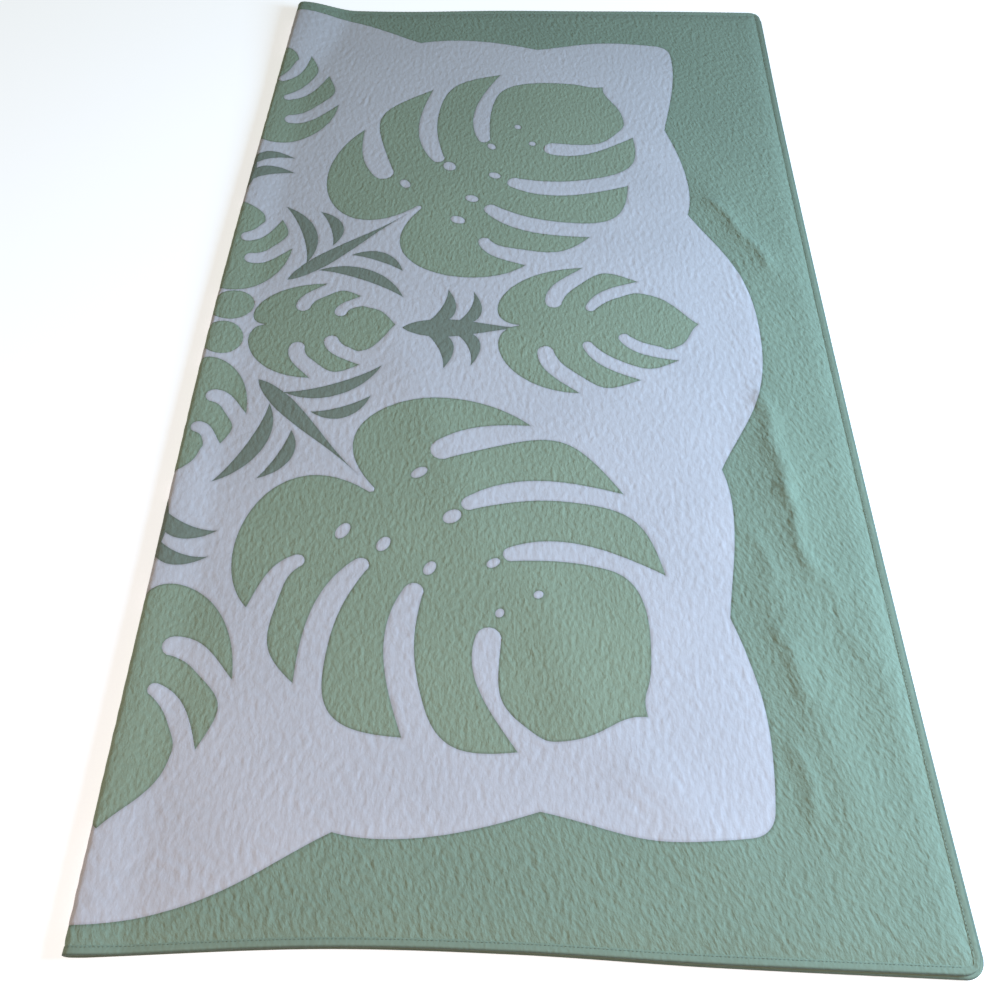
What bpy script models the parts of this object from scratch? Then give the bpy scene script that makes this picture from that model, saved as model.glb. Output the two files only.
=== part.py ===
"""A quilted bed cover, folded once along its length and laid out flat. Metres, +Z up.

The cloth is one padded, quilted panel with a narrow binding sewn over its raw edge. It is
folded in half, so it lies as two layers with a soft round fold on the left, at low x, and its
open edges on the right, at high x. The far end of the fold stands up a little.

Every piece is first a flat grid, which is given a thickness, and then each of its points is
carried to where the folded cloth holds it. A point of the flat cloth is named by its distance
across from the fold line, its distance along from the middle, and its offset out from the
middle of the cloth's thickness, which is positive on the side that faces out.
"""

import math

import bmesh
import bpy

# Cloth as cut
CUT_WIDTH = 2.46
CUT_LENGTH = 2.33
CORNER_RADIUS = 0.030

# Thickness, from the middle of the cloth at its bound edge
OUT_FULL = 0.0025
IN_FULL = 0.0035
EDGE_HALF = 0.0010
OUT_SWELL_TO = 0.017
IN_SWELL_TO = 0.038

# Binding, a strip of cloth turned over the edge
BINDING_WIDTH = 0.012
BINDING_OUTSIDE = 0.0025
BINDING_INSIDE = 0.0015
BINDING_TURN = 0.0010
BINDING_ROUNDING = 0.0005
PIECE_GAP = 0.0012
MITRE_GAP = 0.0004

# Fold and the rest of the upper layer
FOLD_RADIUS = 0.008
FOLD_RADIUS_FAR = 0.014
FOLD_OPENS_FROM = 0.72
FOLD_OPENS_TO = 1.16
SETTLE_PER_RADIUS = 10.0
UPPER_MIDDLE = 0.0110
EDGE_DROP = 0.0025
EDGE_DROP_FROM = 0.010
EDGE_DROP_TO = 0.045

# How far the lower layer lies out of line with the upper one, at its open edge
SLIP_ACROSS = 0.005
SLIP_ALONG = -0.004

# Outline seen from above, by place along the fold: the folded side and the open side
SIDES = (
    {"along": -1.17, "folded": 0.006, "open": 1.236},
    {"along": -0.69, "folded": 0.008, "open": 1.237},
    {"along": 0.00, "folded": 0.013, "open": 1.247},
    {"along": 0.69, "folded": 0.036, "open": 1.264},
    {"along": 1.17, "folded": 0.058, "open": 1.282},
)

# Outline seen from above, by place across the fold: the near end and the far end
ENDS = (
    {"across": 0.03, "near": -1.154, "far": 1.175},
    {"across": 0.34, "near": -1.142, "far": 1.165},
    {"across": 0.61, "near": -1.148, "far": 1.175},
    {"across": 0.87, "near": -1.163, "far": 1.177},
    {"across": 1.25, "near": -1.179, "far": 1.176},
)

# Main creases of the upper layer: soft ridges, each from one place to another
CREASES = (
    {"x0": 1.078, "y0": 0.376, "x1": 1.152, "y1": 0.204, "half_width": 0.040, "height": 0.0035},
    {"x0": 1.095, "y0": 0.102, "x1": 1.140, "y1": -0.338, "half_width": 0.050, "height": 0.0030},
    {"x0": 1.080, "y0": -0.291, "x1": 1.142, "y1": -0.559, "half_width": 0.042, "height": 0.0045},
    {"x0": 1.053, "y0": -0.626, "x1": 1.095, "y1": -0.921, "half_width": 0.042, "height": 0.0045},
    {"x0": 1.181, "y0": -0.608, "x1": 1.199, "y1": -0.804, "half_width": 0.040, "height": 0.0025},
    {"x0": 0.810, "y0": -0.910, "x1": 0.878, "y1": -0.988, "half_width": 0.045, "height": 0.0025},
    {"x0": 0.664, "y0": -0.622, "x1": 0.701, "y1": -0.798, "half_width": 0.045, "height": 0.0020},
    {"x0": 0.394, "y0": -0.062, "x1": 0.544, "y1": -0.463, "half_width": 0.060, "height": 0.0025},
)

# How much faster a crease fades beside its line than past its ends
CREASE_FADE = 2.0

# Slow rise and fall of the upper layer
SWELL_HEIGHT = 0.0015
SWELL_LENGTH_X = 0.62
SWELL_LENGTH_Y = 0.85

# How finely the solids are divided: distances from an edge or from the fold's end, steps and counts
EDGE_STATIONS = (0.0, 0.006, 0.0132, 0.019, 0.028, 0.040)
LOWER_STEPS = 4
FOLD_STEPS = 8
SETTLE_STATIONS = (0.012, 0.028, 0.048, 0.072, 0.100, 0.135)
PLAIN_STEP = 0.080
CREASED_STEP = 0.032
CREASED_FROM = 1.000
ALONG_STEPS = 30

SHARP_ANGLE = math.radians(40)

SAGE = (0.27, 0.38, 0.30, 1.0)
OFF_WHITE = (0.60, 0.60, 0.68, 1.0)


def smoothstep(start, end, value):
    """0 before start, 1 after end, and a soft rise between them."""
    share = min(max((value - start) / (end - start), 0.0), 1.0)
    return share * share * (3.0 - 2.0 * share)


def read_table(table, by, column, at):
    """A smooth curve through a table's rows, read at one place."""
    rows = sorted(table, key=lambda row: row[by])
    at = min(max(at, rows[0][by]), rows[-1][by])
    index = 0
    while index < len(rows) - 2 and at > rows[index + 1][by]:
        index += 1

    def slope(number):
        before = rows[max(number - 1, 0)]
        after = rows[min(number + 1, len(rows) - 1)]
        return (after[column] - before[column]) / (after[by] - before[by])

    low, high = rows[index], rows[index + 1]
    span = high[by] - low[by]
    t = (at - low[by]) / span
    start_part = (2 * t ** 3 - 3 * t ** 2 + 1) * low[column]
    end_part = (3 * t ** 2 - 2 * t ** 3) * high[column]
    start_slope = (t ** 3 - 2 * t ** 2 + t) * span * slope(index)
    end_slope = (t ** 3 - t ** 2) * span * slope(index + 1)
    return start_part + end_part + start_slope + end_slope


def fold_radius(along):
    """Radius of the fold at the middle of the cloth. It opens towards the far end."""
    opening = smoothstep(FOLD_OPENS_FROM, FOLD_OPENS_TO, along)
    return FOLD_RADIUS + (FOLD_RADIUS_FAR - FOLD_RADIUS) * opening


def round_corner(across, along):
    """Draw the square corners of the flat cloth in to round ones."""
    x = (abs(across) - (CUT_WIDTH / 2 - CORNER_RADIUS)) / CORNER_RADIUS
    y = (abs(along) - (CUT_LENGTH / 2 - CORNER_RADIUS)) / CORNER_RADIUS
    if x <= 0.0 or y <= 0.0:
        return across, along
    across_in = CORNER_RADIUS * x * (1.0 - math.sqrt(1.0 - y * y / 2.0))
    along_in = CORNER_RADIUS * y * (1.0 - math.sqrt(1.0 - x * x / 2.0))
    return across - math.copysign(across_in, across), along - math.copysign(along_in, along)


def crease_height(x, y):
    """Height of the upper layer's creases and of its slow swell, over one place."""
    height = SWELL_HEIGHT * (1.0 + math.sin(math.tau * x / SWELL_LENGTH_X)
                             * math.cos(math.tau * y / SWELL_LENGTH_Y)) / 2.0
    for crease in CREASES:
        run_x = crease["x1"] - crease["x0"]
        run_y = crease["y1"] - crease["y0"]
        run = math.hypot(run_x, run_y)
        along = ((x - crease["x0"]) * run_x + (y - crease["y0"]) * run_y) / run
        beside = ((x - crease["x0"]) * run_y - (y - crease["y0"]) * run_x) / run
        past_end = max(-along, along - run, 0.0)
        distance = math.hypot(beside, past_end / CREASE_FADE) / crease["half_width"]
        height += crease["height"] * math.exp(-distance * distance)
    return height


def place(across, along, out):
    """Where the folded cloth holds one point of the flat cloth."""
    edge = min(CUT_WIDTH / 2 - abs(across), CUT_LENGTH / 2 - abs(along))
    across, along = round_corner(across, along)
    radius = fold_radius(along)
    quarter = radius * math.pi / 2
    if abs(across) < quarter:
        angle = across / radius
        reach = radius - (radius + out) * math.cos(angle)
        height = OUT_FULL + radius + (radius + out) * math.sin(angle)
    else:
        reach = radius + abs(across) - quarter
        height = OUT_FULL - out

    folded = read_table(SIDES, "along", "folded", along)
    opened = read_table(SIDES, "along", "open", along)
    lower_share = max(-across, 0.0) / (CUT_WIDTH / 2)
    stretch = (opened - folded) / (radius + CUT_WIDTH / 2 - quarter)
    x = folded + reach * stretch + SLIP_ACROSS * lower_share
    near = read_table(ENDS, "across", "near", x)
    far = read_table(ENDS, "across", "far", x)
    y = near + (far - near) * (along / CUT_LENGTH + 0.5) + SLIP_ALONG * lower_share

    if across >= quarter:
        settled = smoothstep(0.0, SETTLE_PER_RADIUS * radius, reach - radius)
        middle = OUT_FULL + 2 * radius
        rest = UPPER_MIDDLE + crease_height(x, y)
        rest -= EDGE_DROP * (1.0 - smoothstep(EDGE_DROP_FROM, EDGE_DROP_TO, edge))
        height = middle + (rest - middle) * settled + out
    return x, y, height


def slab(name, columns, rows, place_point):
    """A closed slab from a flat grid, each of whose points is then put in its place."""
    mesh = bpy.data.meshes.new(name)
    work = bmesh.new()
    bmesh.ops.create_grid(work, x_segments=columns, y_segments=rows, size=1.0)
    copied = bmesh.ops.extrude_face_region(work, geom=work.faces[:])
    upper = [item for item in copied["geom"] if isinstance(item, bmesh.types.BMVert)]
    bmesh.ops.translate(work, verts=upper, vec=(0.0, 0.0, 1.0))
    for vert in work.verts:
        column = round((vert.co.x + 1.0) / 2.0 * columns)
        row = round((vert.co.y + 1.0) / 2.0 * rows)
        vert.co = place_point(column, row, vert.co.z > 0.5)
    bmesh.ops.recalc_face_normals(work, faces=work.faces[:])
    if work.calc_volume(signed=True) < 0.0:
        bmesh.ops.reverse_faces(work, faces=work.faces[:])
    work.to_mesh(mesh)
    work.free()
    mesh.shade_smooth()
    mesh.set_sharp_from_angle(angle=SHARP_ANGLE)
    return bpy.data.objects.new(name, mesh)


def across_stations():
    """Distances across the flat cloth, from the lower open edge round the fold to the upper one."""
    half = CUT_WIDTH / 2
    quarter = FOLD_RADIUS_FAR * math.pi / 2
    inner = EDGE_STATIONS[-1]
    lower = [-(half - distance) for distance in EDGE_STATIONS]
    lower_span = half - inner - quarter
    lower += [-quarter - lower_span * (LOWER_STEPS - step) / LOWER_STEPS for step in range(1, LOWER_STEPS)]
    fold = [-quarter + 2 * quarter * step / FOLD_STEPS for step in range(FOLD_STEPS + 1)]
    upper = [quarter + distance for distance in SETTLE_STATIONS]
    plain_steps = round((CREASED_FROM - upper[-1]) / PLAIN_STEP)
    plain_start = upper[-1]
    upper += [plain_start + (CREASED_FROM - plain_start) * step / plain_steps
              for step in range(1, plain_steps + 1)]
    creased_steps = round((half - inner - CREASED_FROM) / CREASED_STEP)
    upper += [CREASED_FROM + (half - inner - CREASED_FROM) * step / creased_steps
              for step in range(1, creased_steps)]
    upper += [half - distance for distance in reversed(EDGE_STATIONS)]
    return lower + fold + upper


def along_stations():
    """Distances along the flat cloth, from the near end to the far end."""
    half = CUT_LENGTH / 2
    inner = EDGE_STATIONS[-1]
    near = [-(half - distance) for distance in EDGE_STATIONS]
    span = 2 * (half - inner)
    middle = [-half + inner + span * step / ALONG_STEPS for step in range(1, ALONG_STEPS)]
    far = [half - distance for distance in reversed(EDGE_STATIONS)]
    return near + middle + far


def make_panel():
    """The padded panel, one solid from the lower open edge round the fold to the upper one."""
    across_at = across_stations()
    along_at = along_stations()
    inset = BINDING_TURN + PIECE_GAP
    across_limit = CUT_WIDTH / 2 - inset
    along_limit = CUT_LENGTH / 2 - inset

    def place_point(column, row, is_outer):
        across = min(max(across_at[column], -across_limit), across_limit)
        along = min(max(along_at[row], -along_limit), along_limit)
        edge = min(CUT_WIDTH / 2 - abs(across), CUT_LENGTH / 2 - abs(along))
        covered = BINDING_WIDTH + PIECE_GAP
        if is_outer:
            out = EDGE_HALF + (OUT_FULL - EDGE_HALF) * smoothstep(covered, OUT_SWELL_TO, edge)
        else:
            out = -EDGE_HALF - (IN_FULL - EDGE_HALF) * smoothstep(covered, IN_SWELL_TO, edge)
        return place(across, along, out)

    return slab("quilt_panel", len(across_at) - 1, len(along_at) - 1, place_point)


def binding_profile():
    """The turned strip's section, as pairs of distance from the edge and offset, outside and inside."""
    outside = (
        (BINDING_WIDTH, BINDING_OUTSIDE),
        (0.0, BINDING_OUTSIDE - BINDING_ROUNDING),
        (0.0, BINDING_ROUNDING - BINDING_OUTSIDE),
        (BINDING_WIDTH, -BINDING_OUTSIDE),
    )
    inside = (
        (BINDING_WIDTH, BINDING_INSIDE),
        (BINDING_TURN, BINDING_INSIDE),
        (BINDING_TURN, -BINDING_INSIDE),
        (BINDING_WIDTH, -BINDING_INSIDE),
    )
    return outside, inside


def mitre(station, half, distance):
    """Draw a binding's end in, so that it meets its neighbour on the diagonal of the corner."""
    inner = EDGE_STATIONS[-1]
    from_end = half - abs(station)
    if from_end >= inner:
        return station
    clear = distance + MITRE_GAP
    return math.copysign(half - clear - from_end * (inner - clear) / inner, station)


def make_end_binding(name, end):
    """The binding on one end of the cloth. It goes round the fold with the panel."""
    outside, inside = binding_profile()
    stations = across_stations()

    def place_point(column, row, is_outer):
        distance, out = (outside if is_outer else inside)[column]
        across = mitre(stations[row], CUT_WIDTH / 2, distance)
        return place(across, end * (CUT_LENGTH / 2 - distance), out)

    return slab(name, len(outside) - 1, len(stations) - 1, place_point)


def make_side_binding(name, side):
    """The binding on one of the two open edges."""
    outside, inside = binding_profile()
    stations = along_stations()

    def place_point(column, row, is_outer):
        distance, out = (outside if is_outer else inside)[column]
        along = mitre(stations[row], CUT_LENGTH / 2, distance)
        return place(side * (CUT_WIDTH / 2 - distance), along, out)

    return slab(name, len(outside) - 1, len(stations) - 1, place_point)


def cloth_material(name, colour):
    """A plain matt cloth."""
    material = bpy.data.materials.new(name)
    material.use_nodes = True
    shader = material.node_tree.nodes["Principled BSDF"]
    shader.inputs["Base Color"].default_value = colour
    shader.inputs["Roughness"].default_value = 0.9
    shader.inputs["Metallic"].default_value = 0.0
    return material


def centre_on_origin(pieces):
    """Move the meshes so that the whole part stands on z = 0, centred over the origin."""
    points = [vert.co for piece in pieces for vert in piece.data.vertices]
    middle_x = (min(point.x for point in points) + max(point.x for point in points)) / 2
    middle_y = (min(point.y for point in points) + max(point.y for point in points)) / 2
    lowest = min(point.z for point in points)
    for piece in pieces:
        for vert in piece.data.vertices:
            vert.co.x -= middle_x
            vert.co.y -= middle_y
            vert.co.z -= lowest


def main():
    for old in list(bpy.data.objects):
        bpy.data.objects.remove(old, do_unlink=True)
    collection = bpy.data.collections.new("folded_quilt")
    bpy.context.scene.collection.children.link(collection)
    panel = make_panel()
    bindings = [
        make_end_binding("binding_near", -1),
        make_end_binding("binding_far", 1),
        make_side_binding("binding_open_lower", -1),
        make_side_binding("binding_open_upper", 1),
    ]
    panel.data.materials.append(cloth_material("panel_cloth", OFF_WHITE))
    for binding in bindings:
        binding.data.materials.append(cloth_material("binding_cloth", SAGE))
    pieces = [panel] + bindings
    centre_on_origin(pieces)
    for piece in pieces:
        collection.objects.link(piece)


main()
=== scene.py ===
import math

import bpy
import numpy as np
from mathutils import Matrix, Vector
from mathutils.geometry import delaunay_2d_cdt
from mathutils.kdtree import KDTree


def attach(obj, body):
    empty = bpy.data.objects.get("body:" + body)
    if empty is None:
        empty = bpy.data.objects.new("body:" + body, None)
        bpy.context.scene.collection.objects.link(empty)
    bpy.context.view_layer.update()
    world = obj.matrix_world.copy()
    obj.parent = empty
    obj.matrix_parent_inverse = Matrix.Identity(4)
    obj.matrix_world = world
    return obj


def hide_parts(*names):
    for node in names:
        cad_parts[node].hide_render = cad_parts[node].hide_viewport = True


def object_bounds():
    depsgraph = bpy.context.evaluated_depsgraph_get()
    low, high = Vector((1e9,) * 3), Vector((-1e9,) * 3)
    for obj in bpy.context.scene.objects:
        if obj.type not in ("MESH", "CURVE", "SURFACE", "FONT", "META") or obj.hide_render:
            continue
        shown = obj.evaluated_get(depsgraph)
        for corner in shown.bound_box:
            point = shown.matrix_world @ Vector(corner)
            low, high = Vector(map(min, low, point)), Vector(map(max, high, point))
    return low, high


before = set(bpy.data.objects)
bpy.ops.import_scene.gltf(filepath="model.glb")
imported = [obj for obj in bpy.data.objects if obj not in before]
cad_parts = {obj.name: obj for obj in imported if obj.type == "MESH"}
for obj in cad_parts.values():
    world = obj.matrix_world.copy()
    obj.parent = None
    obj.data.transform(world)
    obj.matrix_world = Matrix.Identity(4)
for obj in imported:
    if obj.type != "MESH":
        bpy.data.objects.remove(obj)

# The looks of a quilted bed cover, folded once along its length and laid out flat. Metres.
#
# A point of the flat cloth is named by its distance across from the fold line, its distance
# along from the middle, and its offset out from the middle of the cloth's thickness. The
# pattern is drawn on the flat cloth, and the cloth is then carried to where it lies folded.
# The fold and the outline are those of the solids, and the broad creases are close to theirs.

CAD_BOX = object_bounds()
MM = 0.001

# Cloth as cut, and how far its faces stand from the middle of its thickness: in full, and at
# the bound edge, from which they swell over a distance
CUT_WIDTH = 2.46
CUT_LENGTH = 2.33
CORNER_RADIUS = 0.030
OUT_FULL = 0.0025
IN_FULL = 0.0035
EDGE_HALF = 0.0010
OUT_SWELL = (0.008, 0.024)
IN_SWELL = (0.012, 0.038)

# Fold, how the upper layer settles beside it and drops at its edge, and how far the lower
# layer has slipped
FOLD_RADIUS = 0.008
FOLD_RADIUS_FAR = 0.014
FOLD_OPENS = (0.72, 1.16)
SETTLE_PER_RADIUS = 10.0
UPPER_MIDDLE = 0.0110
EDGE_DROP = 0.0025
EDGE_DROP_FADE = (0.010, 0.045)
SLIP_ACROSS = 0.005
SLIP_ALONG = -0.004

# Outline seen from above, by place along the fold: the folded side and the open side
SIDES = (
    {"along": -1.17, "folded": 0.006, "open": 1.236},
    {"along": -0.69, "folded": 0.008, "open": 1.237},
    {"along": 0.00, "folded": 0.013, "open": 1.247},
    {"along": 0.69, "folded": 0.036, "open": 1.264},
    {"along": 1.17, "folded": 0.058, "open": 1.282},
)

# Outline seen from above, by place across the fold: the near end and the far end
ENDS = (
    {"across": 0.03, "near": -1.154, "far": 1.175},
    {"across": 0.34, "near": -1.142, "far": 1.165},
    {"across": 0.61, "near": -1.148, "far": 1.175},
    {"across": 0.87, "near": -1.163, "far": 1.177},
    {"across": 1.25, "near": -1.179, "far": 1.176},
)

# Creases of the upper layer: soft ridges, each from one place to another. The solid has broad
# ones close to these, and no sharp ones
CREASES = (
    {"start": (1.078, 0.376), "end": (1.152, 0.204), "half": 0.040, "height": 0.0035},
    {"start": (1.095, 0.080), "end": (1.125, -0.320), "half": 0.050, "height": 0.0024},
    {"start": (1.080, -0.291), "end": (1.112, -0.559), "half": 0.042, "height": 0.0038},
    {"start": (1.053, -0.626), "end": (1.095, -0.921), "half": 0.042, "height": 0.0045},
    {"start": (1.181, -0.608), "end": (1.199, -0.804), "half": 0.040, "height": 0.0025},
    {"start": (0.810, -0.910), "end": (0.878, -0.988), "half": 0.045, "height": 0.0025},
    {"start": (0.664, -0.622), "end": (0.701, -0.798), "half": 0.045, "height": 0.0020},
    {"start": (0.394, -0.062), "end": (0.544, -0.463), "half": 0.060, "height": 0.0025},
)
SHARP_CREASES = (
    {"start": (1.068, 0.380), "end": (1.150, 0.205), "half": 0.013, "height": 0.0034},
    {"start": (1.086, -0.190), "end": (1.096, -0.380), "half": 0.017, "height": 0.0042},
    {"start": (1.096, -0.400), "end": (1.106, -0.540), "half": 0.013, "height": 0.0032},
    {"start": (1.030, -0.500), "end": (1.040, -0.550), "half": 0.013, "height": 0.0020},
    {"start": (1.042, -0.680), "end": (1.062, -0.770), "half": 0.014, "height": 0.0026},
    {"start": (1.036, -0.880), "end": (1.046, -0.950), "half": 0.015, "height": 0.0034},
    {"start": (1.130, -0.560), "end": (1.160, -0.690), "half": 0.014, "height": 0.0012},
)
CREASE_FADE = 2.0
CREASE_WANDER = 0.004
CREASE_WANDER_LENGTH = 0.13
SWELL_HEIGHT = 0.0015
SWELL_LENGTH_X = 0.62
SWELL_LENGTH_Y = 0.85

# Pattern: how far its centre is from the fold line, and one eighth of the scalloped edge of
# the off-white field, from the middle of one side to the corner. Leaving and arriving are the
# handles of the curves between the stops on the way
PATTERN_CENTRE = -0.0085
FIELD_SCALLOP_MIDDLE = 1.100
FIELD_CUSP = (0.987, 0.343)
FIELD_WAIST = (0.956, 0.640)
FIELD_CORNER = 0.989
FIELD_CORNER_ROUNDING = 0.042
FIELD_CURVES = (
    {"leaving": (0.0, 0.185), "arriving": (0.052, -0.108)},
    {"leaving": (0.022, 0.075), "arriving": (0.034, -0.105)},
    {"leaving": (0.012, 0.075), "arriving": (0.012, -0.110)},
    {"leaving": (-0.001, 0.012), "arriving": (0.008, -0.008)},
)

# How the field differs from an even one: it is longer along the cloth than across it, least so
# at the corners, its near and far cusps lie further out, and its edges have a few bellies
FIELD_LENGTHENED = 0.025
CORNER_LENGTHENED = 0.008
CORNER_FADE = (0.45, 0.95)
CUSPS_OUT = 0.010
CUSPS_FADE_IN = (0.0, 0.30)
CUSPS_FADE_OUT = (0.70, 0.95)
END_FADE = (0.80, 0.92)
END_BELLY = {"at": 0.80, "half": 0.10, "out": 0.011}
SIDE_FADE = (0.86, 0.94)
SIDE_BELLIES = (
    {"at": -0.762, "half": 0.135, "out": 0.0172},
    {"at": -0.670, "half": 0.050, "out": 0.0030},
)

# How finely the cloth is divided, and how far in its sheets end, under the binding
STEP_ACROSS = 0.0034
STEP_ALONG = 0.0048
FOLD_STEP = 0.0018
UNDER_STEP_ACROSS = 0.030
UNDER_STEP_ALONG = 0.040
OUTLINE_STEP = 0.0040
OUTLINE_CLEAR = 0.45
ROW_SHIFT = 0.25
SAME_POINT = 1e-6
TOP_INSET = 0.004
BACKING_STEP = 0.016
BACKING_FOLD_COLUMNS = 15
RIM_SAMPLES = 400

# Quilting: soft puffs between the sewn lines. Waves a metre across, their number along the
# cloth as a share of that, and height. The broad ones are in the mesh, lower on the lower layer
# and higher on the border, and the fine ones are in the materials
BROAD_WAVES = 62.0
BROAD_STRETCH = 0.52
BROAD_HEIGHT = 0.0007
UNDER_RELIEF = 0.5
BORDER_RELIEF = 0.5
FINE_WAVES = 112.0
FINE_STRETCH = 0.55
FINE_HEIGHT = 0.0006
FINE_SHARE = 0.5
CRINKLE_WAVES = 150.0
CRINKLE_STRETCH = 0.60
CRINKLE_DETAIL = 3.5
CRINKLE_SHARE = 3.4
BORDER_LEAN = -22.0
BORDER_FADE = (0.99, 1.05)
WAVES_PER_CELL = 2.0
SEAM_DEPTH = 0.0004
SEAM_WIDTH = 0.0025
# How far from a seam, and from the binding's turned outer edge, the materials paint shade
PAINTED_SEAM_SHADE_WIDTH = 0.0045
PAINTED_BINDING_SHADE_WIDTH = 0.0034

# How much the cotton fades over its breadth, and how much lighter it is on high puffs than in the hollows
FADE_WAVES = 5.0
FADE_DETAIL = 2.0
FADE_SHARE = 0.16
FADE_LOWEST = 0.92
RELIEF_TONE_SHARE = 0.04
RELIEF_TONE_LOWEST = 0.95

# Colours, as the cloth's own reflectance. The sprigs' darker colour is partly a darker cloth and partly
# painted shade on these narrow pieces
OFF_WHITE = (0.64, 0.605, 0.605, 1.0)
SAGE = (0.268, 0.340, 0.240, 1.0)
LEAF_SAGE = (0.312, 0.374, 0.254, 1.0)
SPRIG_SAGE = (0.225, 0.255, 0.195, 1.0)
BINDING_SAGE = (0.262, 0.328, 0.230, 1.0)
BACKING_SAGE = (0.28, 0.36, 0.285, 1.0)
THREAD = (0.17, 0.23, 0.17, 1.0)
COTTON_FINISH = {"Roughness": 0.88, "Sheen Weight": 0.10, "Specular IOR Level": 0.20}
THREAD_FINISH = {"Roughness": 0.6}

# Floor, room and lights. The room lights the cloth with one colour and is seen in another
FLOOR_WHITE = (0.93, 0.93, 0.93, 1.0)
FLOOR_FINISH = {"Roughness": 0.9, "Emission Color": (1.0, 1.0, 1.0, 1.0), "Emission Strength": 0.55}
FLOOR_HEIGHT = -0.0006
FLOOR_REACH = 30.0
ROOM_LIGHT = (0.93, 1.0, 0.75, 1.0)
ROOM_STRENGTH = 0.16
ROOM_WALL = (0.80, 0.82, 0.82, 1.0)
LIGHTS = (
    {"name": "light_right", "at": (2.7, -0.6, 1.25), "towards": (0.5, -0.4, 0.0),
     "size": 1.2, "watts": 168.0, "colour": (0.45, 0.69, 1.0)},
    {"name": "light_near", "at": (-0.6, -2.6, 2.4), "towards": (0.2, -0.5, 0.0),
     "size": 1.6, "watts": 37.0, "colour": (1.0, 0.77, 0.74)},
)

# Camera, in the pattern's plane and above the upper layer
CAMERA_PLACE = (0.573, -1.413, 1.446)
CAMERA_FORWARD = (0.009, 0.569, -0.822)
CAMERA_RIGHT = (1.0, -0.001, 0.010)
CAMERA_LENS = 36.0
CAMERA_SENSOR = 36.0
UPPER_TOP = UPPER_MIDDLE + OUT_FULL


def smoothstep(start, end, value):
    """0 before start, 1 after end, and a soft rise between them."""
    share = np.clip((value - start) / (end - start), 0.0, 1.0)
    return share * share * (3.0 - 2.0 * share)


def read_table(table, by, column, at):
    """A smooth curve through a table's rows, read at many places."""
    place_of = np.array([row[by] for row in table])
    value_of = np.array([row[column] for row in table])
    slope_of = np.empty(len(table))
    slope_of[1:-1] = (value_of[2:] - value_of[:-2]) / (place_of[2:] - place_of[:-2])
    slope_of[0] = (value_of[1] - value_of[0]) / (place_of[1] - place_of[0])
    slope_of[-1] = (value_of[-1] - value_of[-2]) / (place_of[-1] - place_of[-2])
    at = np.clip(at, place_of[0], place_of[-1])
    index = np.clip(np.searchsorted(place_of, at) - 1, 0, len(table) - 2)
    span = place_of[index + 1] - place_of[index]
    t = (at - place_of[index]) / span
    start_part = (2 * t ** 3 - 3 * t ** 2 + 1) * value_of[index]
    end_part = (3 * t ** 2 - 2 * t ** 3) * value_of[index + 1]
    start_slope = (t ** 3 - 2 * t ** 2 + t) * span * slope_of[index]
    end_slope = (t ** 3 - t ** 2) * span * slope_of[index + 1]
    return start_part + end_part + start_slope + end_slope


def fold_radius(along):
    """Radius of the fold at the middle of the cloth. It opens towards the far end."""
    opening = smoothstep(*FOLD_OPENS, along)
    return FOLD_RADIUS + (FOLD_RADIUS_FAR - FOLD_RADIUS) * opening


def round_corner(across, along):
    """Draw the square corners of the flat cloth in to round ones."""
    x = np.clip((np.abs(across) - (CUT_WIDTH / 2 - CORNER_RADIUS)) / CORNER_RADIUS, 0.0, 1.0)
    y = np.clip((np.abs(along) - (CUT_LENGTH / 2 - CORNER_RADIUS)) / CORNER_RADIUS, 0.0, 1.0)
    across_in = CORNER_RADIUS * x * (1.0 - np.sqrt(1.0 - y * y / 2.0))
    along_in = CORNER_RADIUS * y * (1.0 - np.sqrt(1.0 - x * x / 2.0))
    return across - np.sign(across) * across_in, along - np.sign(along) * along_in


def crease_height(x, y):
    """Height of the upper layer's creases and of its slow swell, over many places."""
    height = SWELL_HEIGHT * (1.0 + np.sin(math.tau * x / SWELL_LENGTH_X)
                             * np.cos(math.tau * y / SWELL_LENGTH_Y)) / 2.0
    for crease in CREASES + SHARP_CREASES:
        (start_x, start_y), (end_x, end_y) = crease["start"], crease["end"]
        run_x, run_y = end_x - start_x, end_y - start_y
        run = math.hypot(run_x, run_y)
        along = ((x - start_x) * run_x + (y - start_y) * run_y) / run
        beside = ((x - start_x) * run_y - (y - start_y) * run_x) / run
        beside = beside + CREASE_WANDER * np.sin(math.tau * along / CREASE_WANDER_LENGTH)
        past_end = np.maximum(np.maximum(-along, along - run), 0.0)
        distance = np.hypot(beside, past_end / CREASE_FADE) / crease["half"]
        height = height + crease["height"] * np.exp(-distance * distance)
    return height


def edge_distance(across, along):
    """Distance from the nearest edge of the flat cloth."""
    return np.minimum(CUT_WIDTH / 2 - np.abs(across), CUT_LENGTH / 2 - np.abs(along))


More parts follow.
